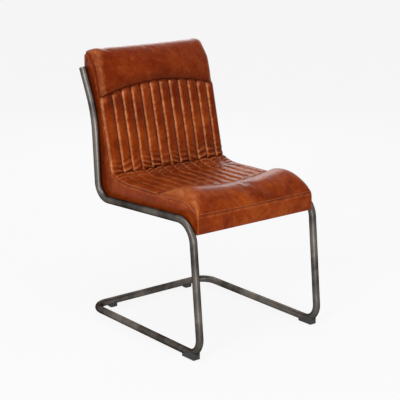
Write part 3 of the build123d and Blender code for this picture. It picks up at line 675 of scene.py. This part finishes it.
# Painted light on the channels: shade in grooves, on one flank, in tuck troughs, at the roll and fold and on
# hidden faces; highlights, partly wear, elsewhere
channelMarks = {
    "rollReach": 0.005, "foldReach": 0.0018, "fold": 0.8, "side": 0.25, "outerEdge": 0.010, "hidden": 0.3,
    "grooveFrom": 0.9, "flankFrom": 0.1, "flankShade": 0.65, "tuckShade": 0.5, "tuckHighlight": 0.6,
    "wornAndHighlight": -0.84, "wornAndHighlightWidth": 0.13, "puffHighlight": 0.5, "puffPlace": 0.012, "puffReach": 0.007,
}


def channelSection(pad):
    look = channelled
    step = np.sin(np.linspace(-math.pi / 2, math.pi / 2, look["samples"] + 1))
    flat, t, channel = [], [], []
    for number in range(chair["channels"]):
        centre = -half + (number + 0.5) * pitch
        flat.extend(centre + pitch / 2 * step[:-1])
        t.extend(step[:-1])
        channel.extend([number] * look["samples"])
    flat, t = np.array(flat + [half]), np.array(t + [1.0])
    x, over = roundedEdges(flat, half, pad["radius"], look["edgeTurn"])
    low = pad["radius"] * (1 - np.cos(over))
    fade = np.clip((flat - look["fadeFrom"]) / look["fadeRun"], 0, 1)
    strength = pad["nearSide"] + (1 - pad["nearSide"]) * fade
    sewn = (np.abs(t) > look["onSeam"]) & (over == 0)
    swell = pad["crown"] * strength * (1 - np.abs(t)**look["power"])
    swell = swell + pad["crown"] * (1 - strength) * look["fadeFill"] - look["groove"] * strength * sewn
    side = [(half - inset, -low[-1] - drop) for inset, drop in look["lip"]]
    side.append((side[-1][0], -pad["depth"]))
    under = [(half * k, -pad["depth"]) for k in (0.5, 0.0, -0.5)]
    rest = np.array(side + under + [(-a, b) for a, b in side[::-1]])
    spare = np.ones(len(rest))
    return {
        "x": np.concatenate([x, rest[:, 0]]), "height": np.concatenate([swell - low, rest[:, 1]]),
        "t": np.concatenate([t, spare]), "over": np.concatenate([over, spare]),
        "strength": np.concatenate([strength, spare]), "top": len(t),
        "channel": np.array(channel + [chair["channels"] - 1] * (1 + len(rest))),
    }


def tuckWaves(s, section):  # short folds across each channel, next to the crease
    draw = np.random.default_rng(tucks["seed"])
    drawn = [draw.uniform(*tucks[key], chair["channels"]) for key in ("length", "slant", "size")]
    length, slant, size = [values[section["channel"]] for values in drawn]
    t = section["t"]
    wave = -np.cos(2 * math.pi * (np.abs(s) + slant * t) / length) * size
    return wave * bell(s, tucks["reach"]) * (1 - np.abs(t)**tucks["power"])


def channelPad(name, start, end, pad):
    look, marks = channelled, channelMarks
    section = channelSection(pad)
    x, t, top = section["x"], section["t"], section["top"]
    inside = np.clip(x, -half, half)
    first, last = start(inside), end(inside)
    s = first + (last - first) * np.linspace(0, 1, look["rows"])[:, None]
    point, normal = alongPad(s)
    fromRoll = np.abs(s - first - last)  # one of the two ends is the fold, at nought
    onTop = np.arange(len(x)) < top
    wave = tuckWaves(s, section) * onTop
    toSide = np.clip((half - np.abs(x)) / pitch, 0, 1)
    dip = look["tuck"] * toSide * bell(fromRoll, look["tuckReach"])
    creased = look["creaseSide"] + (1 - look["creaseSide"]) * toSide
    dip = dip + look["creaseDip"] * creased * bell(s, look["creaseReach"])
    height = section["height"] - dip * onTop + wave * tucks["height"]
    piece = ringPiece(name, withX(x, point + normal * height[..., None]))
    free = np.zeros(s.shape, bool)
    free[look["endRows"]:-look["endRows"], :top] = True
    free &= (np.abs(t) < look["onSeam"]) & (section["over"] < look["freeTurn"])
    shaped = stuff(piece, free, look)

    # Painted shade in the grooves, on the flank towards +x, in the tuck troughs and at the ends by the roll
    # and the fold; painted highlights, partly wear, along the flank towards -x, on the tuck crests and where
    # the channels puff out
    paintedLightAndWear = pad["paintedLightAndWear"] * section["strength"]
    ends = bell(fromRoll, marks["rollReach"]) + marks["fold"] * bell(s, marks["foldReach"])
    ends = ends * (marks["side"] + (1 - marks["side"]) * toSide)
    inner = np.clip((half - np.abs(x)) / marks["outerEdge"], 0, 1)  # no groove at the two outer edges
    line = np.clip((np.abs(t) - marks["grooveFrom"]) / (1 - marks["grooveFrom"]), 0, 1)**2
    flankShade = np.clip((t - marks["flankFrom"]) / (1 - marks["flankFrom"]), 0, 1)**2
    groove = line * section["strength"] + marks["flankShade"] * paintedLightAndWear * flankShade
    seam = np.where(onTop, groove * inner, marks["hidden"]) + ends + marks["tuckShade"] * np.clip(-wave, 0, 1)
    rub = onTop * bell(t - marks["wornAndHighlight"], marks["wornAndHighlightWidth"]) * paintedLightAndWear + marks["tuckHighlight"] * np.clip(wave, 0, 1)
    puffed = bell(fromRoll - marks["puffPlace"], marks["puffReach"]) * np.clip(-t, 0, 1)
    rub = (rub + marks["puffHighlight"] * paintedLightAndWear * onTop * puffed) * (1 - np.clip(ends, 0, 1))
    finishPad(piece, seam, rub, 1)
    return piece, shaped[:, :top]


def makeSeat():
    start = lambda x: padLine["front"] + arch(x, chair["rollSide"], chair["rollMiddle"])
    return channelPad("seatPad", start, np.zeros_like, seatChannels)


def makeBack():
    end = lambda x: padLine["back"] + arch(x, chair["archSide"], chair["archMiddle"])
    return channelPad("backPad", np.zeros_like, end, backChannels)


# Smooth rolls at the head and at the front edge

headRoll = {
    "crest": (0.2430, 0.8225), "edge": (0.28552, 0.8155), "bulgeSide": 0.0075, "bulgeMiddle": 0.018,
    "topCrown": 0.004, "frontSteps": 60, "topSteps": 24, "smoothing": 6,
    "inner": [(0.2830, 0.7702), (0.2800, 0.7543), (0.2620, 0.7630)], "seamDepths": (0.020, 0.008),
    "radii": (0.024, 0.042, 0.015), "radiusPlaces": (0.45, 0.76, 1.0),  # front, top and rear
    "cap": 0.003, "pressure": 6.0, "growth": 0.01,
}
frontRoll = {
    "bulgeSide": 0.050, "bulgeMiddle": 0.037, "skew": 0.80, "steps": 60, "radius": 0.004,
    "crownRadius": 0.052, "spread": 0.002, "floor": 0.4055,
    "innerFront": ((0.006, 0.003), (0.012, 0.0)),  # rearward of the front edge, above the floor
    "innerRear": (0.05, 0.004), "innerTop": (0.003, 0.012),  # forward of the rear seam, and below it
    "cap": 0.003, "pressure": 6.0, "growth": 0.01,
}
# Marks on the rolls: painted shade along the seam the outline starts from, darker hidden faces and last row,
# painted highlights, partly wear, on the turned ends
roll = {
    "flat": 44, "turned": 7, "turn": math.radians(75), "outer": 44, "innerInset": 0.006,
    "lip": 0.0045, "lipReach": 0.016, "lipPower": 4, "endColumns": 3, "endRows": 2,
    "paintedLightAndWear": 0.45, "wearAndSheenTurn": 0.6, "wearAndSheenWidth": 0.35, "shade": 0.6, "shadeReach": 0.3,
    "hidden": 0.5, "lastRow": 0.3,
}


def rollPiece(name, outline, radius, look, outSide, spread=0.0):
    around = roll["outer"]
    widen = 1 + spread / half * np.linspace(0, 1, around)
    turned = np.linspace(0, roll["turn"], roll["turned"] + 1)[1:]
    columns = [(-1, a) for a in turned[::-1]] + [(c, 0) for c in np.linspace(-1, 1, roll["flat"])]
    columns += [(1, a) for a in turned]
    rings = []
    for c, angle in columns:
        x = np.sign(c) * (half - radius + radius * np.sin(angle)) if angle else c * (half - radius)
        outer, inner = outline(float(np.clip(x[0], -half, half)))
        swell = np.sin(math.pi * np.clip(walkedAlong(outer) / roll["lipReach"] / 2, 0, 1))
        lift = roll["lip"] * swell * (1 - c**roll["lipPower"]) - radius * (1 - np.cos(angle))
        outer = outer + leftOf(outer) * outSide * lift[:, None]
        innerX = np.full(len(inner), x[0] * (1 - roll["innerInset"] / half))
        rings.append(withX(np.concatenate([x * widen, innerX]), np.concatenate([outer, inner])))
    rings = np.array(rings)
    piece = ringPiece(name, rings)
    free = np.zeros(rings.shape[:2], bool)
    free[roll["endColumns"]:-roll["endColumns"], roll["endRows"]:around - roll["endRows"]] = True
    shaped = stuff(piece, free, look)
    # Painted shade next to the seam the outline starts from: under the head roll's bulge, and behind the
    # front roll
    seam = np.full(free.shape, roll["hidden"])
    seam[:, :around] = roll["shade"] * (1 - np.linspace(0, 1, around) / roll["shadeReach"]).clip(0)**2
    seam[:, around - 1] = roll["lastRow"]
    turnedBy = np.array([angle for c, angle in columns])[:, None]
    onTop = np.arange(rings.shape[1]) < around
    # Painted highlight, partly wear, where the ends turn over
    rub = bell(turnedBy - roll["wearAndSheenTurn"], roll["wearAndSheenWidth"]) * onTop * roll["paintedLightAndWear"]
    finishPad(piece, seam, rub, roll["hidden"])
    return piece, shaped[:, :around]


def bulgeAt(x, look):
    return look["bulgeSide"] + (look["bulgeMiddle"] - look["bulgeSide"]) * (1 - (x / half)**2)


def headOutline(x):
    look = headRoll
    seam = backPoint(arch(x, chair["archSide"], chair["archMiddle"]))
    front = arcPoints(seam, look["crest"], bulgeAt(x, look), look["frontSteps"])
    top = arcPoints(look["crest"], look["edge"], look["topCrown"], look["topSteps"])
    outer = respace(np.concatenate([front, top[1:]]), count=roll["outer"])
    inner = look["inner"] + [tuple(seam - backOut * depth) for depth in look["seamDepths"]]
    return smoothLine(outer, look["smoothing"]), np.array(inner)


def frontOutline(x):
    look = frontRoll
    front = (chair["front"], chair["frontSeam"])
    rear = (chair["front"] + arch(x, chair["rollSide"], chair["rollMiddle"]), chair["seatTop"])
    outer = arcPoints(front, rear, bulgeAt(x, look), look["steps"], look["skew"])
    inner = [(front[0] + back, look["floor"] + up) for back, up in look["innerFront"]]
    inner += [(rear[0] - forward, look["floor"]) for forward in look["innerRear"]]
    inner.append((rear[0] - look["innerTop"][0], rear[1] - look["innerTop"][1]))
    return respace(outer, count=roll["outer"])[::-1], np.array(inner)


def makeHeadRoll():
    radius = np.interp(np.linspace(0, 1, roll["outer"]), headRoll["radiusPlaces"], headRoll["radii"])
    return rollPiece("headRollPad", headOutline, radius, headRoll, 1)


def makeFrontRoll():
    full = np.sin(math.pi * np.linspace(0, 1, roll["outer"]))
    radius = frontRoll["radius"] + (frontRoll["crownRadius"] - frontRoll["radius"]) * full
    return rollPiece("frontRollPad", frontOutline, radius, frontRoll, -1, frontRoll["spread"])


# Leather panels at the sides, the front and the rear

panel = {
    "columns": 110, "rows": 22, "thickness": 0.0022, "fill": 0.9, "bulge": 0.0022, "bulgeReach": 0.012,
    "tuck": 0.0003, "tuckReach": 0.0025, "tubeClear": 0.012, "tubeFade": 0.016, "lap": 0.0005,
    "noseInset": 0.003, "headGap": 0.003, "headLap": (0.0006, -0.001),
    "rollRows": 2, "foldRows": 3, "headRows": 2,  # rows of the pads' edges left out at their ends
    "seam": 0.15, "seamReach": 0.0018, "endReach": 0.0012, "rub": 0.22, "wearAndSheenPlace": 0.004, "wearAndSheenReach": 0.003,
}
tubeLine = [(-0.24421, 0.399), (0.20479, 0.379), (0.21979, 0.635), (0.27729, 0.765)]
rearCorners = [
    (chair["noseRear"], underside(chair["noseRear"])), (0.21317, 0.36813), (0.22868, 0.63285),
    (chair["rearFace"], 0.76136), (chair["rearFace"], 0.8076),
]
rearRadii = (0.059, 0.331, 0.040)
rearPath = filletPath(rearCorners, rearRadii)  # under the seat and up the rear to the head


def tubeDistance(y, z):
    found = np.full(y.shape, 1.0)
    for (ay, az), (by, bz) in zip(tubeLine, tubeLine[1:]):
        length = (by - ay)**2 + (bz - az)**2
        t = np.clip(((y - ay) * (by - ay) + (z - az) * (bz - az)) / length, 0, 1)
        found = np.minimum(found, np.hypot(y - ay - t * (by - ay), z - az - t * (bz - az)))
    return found


def ruledPanel(name, side, first, second):
    look = panel
    u = respace(first, count=look["columns"])
    w = respace(second, count=look["columns"])
    share = edgeSpread(look["rows"])[:, None]
    yz = u * (1 - share[..., None]) + w * share[..., None]
    y, z = yz[..., 0], yz[..., 1]
    toEdge = np.minimum(share, 1 - share) * np.linalg.norm(w - u, axis=1)
    along = np.linspace(0, 1, look["columns"]) * walkedAlong(u)[-1]
    toEnd = np.minimum(along, along.max() - along)
    rise = np.clip((tubeDistance(y, z) - look["tubeClear"]) / look["tubeFade"], 0, 1)
    inside = np.clip(np.minimum(toEdge, toEnd) / look["bulgeReach"], 0, 1)
    x = half + look["bulge"] * rise**2 * (3 - 2 * rise) * inside
    x = x - look["tuck"] * np.exp(-toEdge / look["tuckReach"])
    piece = sheetGrid(name, withX(side * x, yz))
    # Painted shade along the edges and ends where the panel meets the pads; a pale line just inside the edge,
    # partly wear and partly painted highlight
    mark(piece, "seam", (bell(toEdge, look["seamReach"]) + bell(toEnd, look["endReach"])) * look["seam"])
    mark(piece, "rub", bell(toEdge - look["wearAndSheenPlace"], look["wearAndSheenReach"]) * look["rub"])
    closeSheet(piece, look["thickness"], (side, 0, 0))
    return piece


def crossing(path, start, end):
    a, b = np.array(start), np.array(end)
    side = (path[:, 0] - a[0]) * (b[1] - a[1]) - (path[:, 1] - a[1]) * (b[0] - a[0])
    return int(np.flatnonzero(np.diff(np.sign(side)) != 0)[-1]) + 1


def makeSides(seatEdge, backEdge, headEdge, rollEdge):
    low = chair["bandBottom"]
    tail = chair["noseRear"] + chair["noseTail"]  # out of sight behind the tube's bend
    nose = [(chair["front"] + panel["noseInset"], low), (chair["noseRear"], low), (tail, underside(tail))]
    split = crossing(rearPath, chair["crease"], (chair["seamFoot"], underside(chair["seamFoot"])))
    under, behind = rearPath[:split], rearPath[split - 1:]
    seatTop = np.concatenate([rollEdge[::-1], seatEdge[panel["rollRows"]:]])
    seatLow = np.concatenate([nose, under[under[:, 0] > tail]])
    backEdge = backEdge[panel["foldRows"]:-panel["headRows"]]
    backFront = np.concatenate([seatEdge[-1:], backEdge, headEdge])
    behind = behind[behind[:, 1] < headEdge[-1, 1] - panel["headGap"]]
    backRear = np.concatenate([behind, [headEdge[-1] + panel["headLap"]]])
    for side, word in ((-1, "right"), (1, "left")):
        seatSide = ruledPanel(f"seatSide_{word}", side, seatTop + (0, panel["lap"]), seatLow)
        backSide = ruledPanel(f"backSide_{word}", side, backFront + (-panel["lap"], 0), backRear)
        settle(seatSide, f"seat_side_panel_{word}", fill=panel["fill"])
        settle(backSide, f"back_side_panel_{word}", fill=panel["fill"])


frontBand = {
    "columns": 80, "step": 0.0022, "radius": 0.004, "edgeTurn": math.radians(70), "turn": 0.0045,
    "bulge": 0.0015, "tuck": 0.0018, "tuckReach": 0.002, "thickness": 0.0018, "seamGap": 0.0006,
    "seam": 0.25, "seamReach": 0.0018, "rub": 0.2, "wearAndSheenPlace": 0.004, "wearAndSheenReach": 0.003, "edgeWearAndSheen": 0.3,
}


def makeFrontBand():
    look = frontBand
    front, rear, low = chair["front"], chair["noseRear"], chair["bandBottom"]
    top = chair["frontSeam"] - look["seamGap"]
    corners = [(front, top), (front, low), (rear, low), (rear, underside(rear))]
    line = filletPath(corners, (look["turn"], look["turn"]), step=look["step"])
    wide = half + frontRoll["spread"]
    flat = (edgeSpread(look["columns"]) * 2 - 1) * wide
    x, over = roundedEdges(flat, wide, look["radius"], look["edgeTurn"])
    fromTop = (top - line[:, 1] + line[:, 0] - front)[:, None]
    face = np.clip(fromTop / (top - low), 0, 1)
    offset = look["bulge"] * np.sin(math.pi * face) - look["tuck"] * np.exp(-fromTop / look["tuckReach"])
    offset = offset - look["radius"] * (1 - np.cos(over))
    piece = sheetGrid("frontBandPanel", withX(x, line[:, None] - leftOf(line)[:, None] * offset[..., None]))
    # Painted shade along the top seam under the roll; pale marks, partly wear and partly painted highlight,
    # just below that seam and on the turned edges
    mark(piece, "seam", bell(fromTop, look["seamReach"]) * look["seam"] + 0 * over)
    edgeWearAndSheen = bell(over - roll["wearAndSheenTurn"], roll["wearAndSheenWidth"]) * look["edgeWearAndSheen"]
    mark(piece, "rub", bell(fromTop - look["wearAndSheenPlace"], look["wearAndSheenReach"]) * look["rub"] + edgeWearAndSheen)
    closeSheet(piece, look["thickness"], (0, -1, 0))
    settle(piece, "front_band", fill=panel["fill"])


rearPanel = {
    "columns": 72, "step": 0.004, "radius": 0.007, "edgeTurn": math.radians(70), "crown": 0.0025,
    "inset": 0.0022, "sink": 0.0008, "thickness": 0.0018, "headGap": 0.001, "fitFrom": 0.77,
    "rub": 0.3, "wearAndSheenReach": 0.006,
}


def makeOutsideBack(headRear):
    look = rearPanel
    start = int(np.argmin(np.abs(rearPath[:, 0] - chair["wrapEnd"])))
    highest = headRear[:, 2].max() - look["headGap"]
    line = respace(np.concatenate([rearPath[start:], [(chair["rearFace"], highest)]]), step=look["step"])
    share = edgeSpread(look["columns"]) * 2 - 1
    limit = half - look["inset"]
    x, over = roundedEdges(share * limit, limit, look["radius"], look["edgeTurn"])
    ease = np.sin(math.pi * np.linspace(0, 1, len(line)))[:, None]
    offset = look["crown"] * ease * (1 - share**2) - look["radius"] * (1 - np.cos(over)) - look["sink"]
    yz = line[:, None] - leftOf(line)[:, None] * offset[..., None]
    headHeight = np.interp(x, headRear[:, 0], headRear[:, 2]) - look["headGap"]
    upper = np.clip((yz[..., 1] - look["fitFrom"]) / (highest - look["fitFrom"]), 0, 1)
    yz[..., 1] -= upper * (highest - headHeight)  # the upper edge follows the head roll's rear edge
    piece = sheetGrid("outsideBackPanel", withX(x, yz))
    mark(piece, "seam", np.zeros(offset.shape))
    mark(piece, "rub", bell(half - np.abs(x), look["wearAndSheenReach"]) * look["rub"] + 0 * offset)
    closeSheet(piece, look["thickness"], (0, 1, 0))
    settle(piece, "outside_back_panel", fill=panel["fill"])


# Stitches, each a short capsule of thread

stitch = {
    "pitch": 0.0036, "length": 0.0029, "radius": 0.00040, "lift": 0.0002, "probe": 0.001,
    "sides": 6, "rings": 5, "column": 2, "skip": 4, "rollSkip": 6, "columnSkip": 2,
}


def makeStitches(name, rows):
    bpy.ops.object.select_all(action="DESELECT")
    bpy.ops.mesh.primitive_uv_sphere_add(segments=stitch["sides"], ring_count=stitch["rings"], radius=1.0)
    model = bpy.context.object
    bpy.ops.object.mode_set(mode="EDIT")
    bpy.ops.mesh.select_all(action="SELECT")
    bpy.ops.transform.resize(value=(stitch["radius"], stitch["radius"], stitch["length"] / 2))
    bpy.ops.object.mode_set(mode="OBJECT")
    shape = places(model)
    faces = [tuple(f.vertices) for f in model.data.polygons]
    bpy.data.objects.remove(model)
    points, allFaces = [], []
    for line, normals in rows:
        walked = walkedAlong(line)
        at = lambda values, s: np.array([np.interp(s, walked, values[:, k]) for k in range(3)])
        for s in np.arange(stitch["pitch"], walked[-1] - stitch["pitch"], stitch["pitch"]):
            along = at(line, s + stitch["probe"]) - at(line, s - stitch["probe"])
            along /= np.linalg.norm(along)
            across = np.cross(at(normals, s), along)
            across /= np.linalg.norm(across)
            up = np.cross(along, across)
            base = len(points)
            points.extend(at(line, s) + up * stitch["lift"] + shape @ np.stack([across, up, along]))
            allFaces.extend(tuple(base + i for i in f) for f in faces)
    piece = newPiece(name, points, allFaces)
    outward(piece)
    piece.data.materials.append(paints["thread"])
    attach(piece, "root")


def skinNormals(skin, hint):  # turned to the side that the hint points to
    normal = np.cross(np.gradient(skin, axis=1), np.gradient(skin, axis=0))
    normal /= np.maximum(np.linalg.norm(normal, axis=-1), tiny)[..., None]
    return normal if normal.mean((0, 1)) @ np.array(hint) > 0 else -normal


def channelStitches(name, skin, hint):
    normal = skinNormals(skin, hint)
    last = skin.shape[1] - 1
    inner = slice(stitch["skip"], -stitch["skip"])
    columns = [*range(stitch["column"], last, channelled["samples"]), last - stitch["column"]]
    makeStitches(name, [(skin[inner, i], normal[inner, i]) for i in columns])


def rollStitches(name, skin, hint, columns, rows):
    normal = skinNormals(skin, hint)
    inner = slice(stitch["rollSkip"], -stitch["rollSkip"])
    ends = slice(stitch["columnSkip"], -stitch["columnSkip"])
    sewn = [(skin[inner, r], normal[inner, r]) for r in rows]
    for c in columns:  # counted from either end, part way between two columns where not whole
        whole, share = int(c), c - int(c)
        for first, second in ((whole, whole + 1), (-1 - whole, -2 - whole)):
            sewn.append([(a[first] * (1 - share) + a[second] * share)[ends] for a in (skin, normal)])
    makeStitches(name, sewn)


# Straps inside and cloth under the seat

straps = {"width": 0.05, "merge": 0.00001}


def strapSheet(name, node):
    bpy.ops.object.select_all(action="DESELECT")
    piece = frame["nodes"][node].copy()
    piece.data = frame["nodes"][node].data.copy()
    piece.parent = None
    piece.name = name
    for key in list(piece.keys()):
        del piece[key]
    scene.collection.objects.link(piece)
    only(piece)
    bpy.ops.object.mode_set(mode="EDIT")
    bpy.ops.mesh.select_all(action="SELECT")
    bpy.ops.mesh.remove_doubles(threshold=straps["merge"])
    bpy.ops.object.mode_set(mode="OBJECT")
    piece.data.materials.clear()
    piece.data.materials.append(paints["webbing"])
    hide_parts(node)
    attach(piece, "root")


dustCloth = {"columns": 40, "rows": 38, "sag": 0.003, "sagPower": 6, "thickness": 0.0007, "depth": 0.0016}


def makeDustCloth():
    look = dustCloth
    low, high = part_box("dust_cover")
    size = (high[0] - low[0], high[1] - low[1])
    bpy.ops.object.select_all(action="DESELECT")
    bpy.ops.mesh.primitive_grid_add(x_subdivisions=look["columns"], y_subdivisions=look["rows"], size=1.0)
    piece = bpy.context.object
    piece.name = "dustCloth"
    across, along = places(piece)[:, :2].T
    sag = look["sag"] * (1 - np.abs(2 * across)**look["sagPower"]) * (1 - np.abs(2 * along)**look["sagPower"])
    x = (low[0] + high[0]) / 2 + across * size[0]
    y = (low[1] + high[1]) / 2 + along * size[1]
    moveTo(piece, np.stack([x, y, underside(y) + look["depth"] - sag], -1))
    closeSheet(piece, look["thickness"], (0, 0, 1))
    piece.data.materials.append(paints["black_cloth"])
    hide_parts("dust_cover")
    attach(piece, "root")


# Making the scene

makeCamera()
makeLamps()
makeWorld()
makeFloor()
paints = {
    "tan_leather": makeLeather(), "dark_steel": makeDarkSteel(), "plain_steel": makePlainSteel(),
    "black_plastic": makeBlackPlastic(), "plywood": makePlywood(), "thread": makeThread(),
    "webbing": makeWoven("webbing"), "black_cloth": makeWoven("blackCloth"), "foam": makeWoven("foam"),
}
for entry in frame["record"]["subparts"]:
    node = frame["nodes"][entry["node"]]
    node.data.materials.clear()
    node.data.materials.append(paints[entry["material_slot"]])
print("camera, light and materials ready")

seatPad, seatSkin = makeSeat()
backPad, backSkin = makeBack()
headPad, headSkin = makeHeadRoll()
rollPad, rollSkin = makeFrontRoll()
settle(seatPad, "seat_channel_cover", "seat_foam")
settle(backPad, "back_channel_cover", "back_foam")
settle(headPad, "head_roll_cover", "head_roll_foam")
settle(rollPad, "front_roll_cover", "front_roll_foam")
print("padded pieces ready")

makeSides(seatSkin[:, -1, 1:], backSkin[:, -1, 1:], headSkin[-1, :, 1:], rollSkin[-1, :, 1:])
makeFrontBand()
makeOutsideBack(headSkin[:, -1])
print("leather panels ready")

channelStitches("backStitches", backSkin, (0, -1, 0.2))
channelStitches("seatStitches", seatSkin, (0, 0, 1))
rollStitches("headStitches", headSkin, (0, -1, 0.5), (2,), ())
rollStitches("frontStitches", rollSkin, (0, -0.5, 1), (0.4, 0.8), (-2,))
strapSheet("seatStraps", "seat_webbing")
strapSheet("backStraps", "back_webbing")
makeDustCloth()
print("stitches and cloth ready")
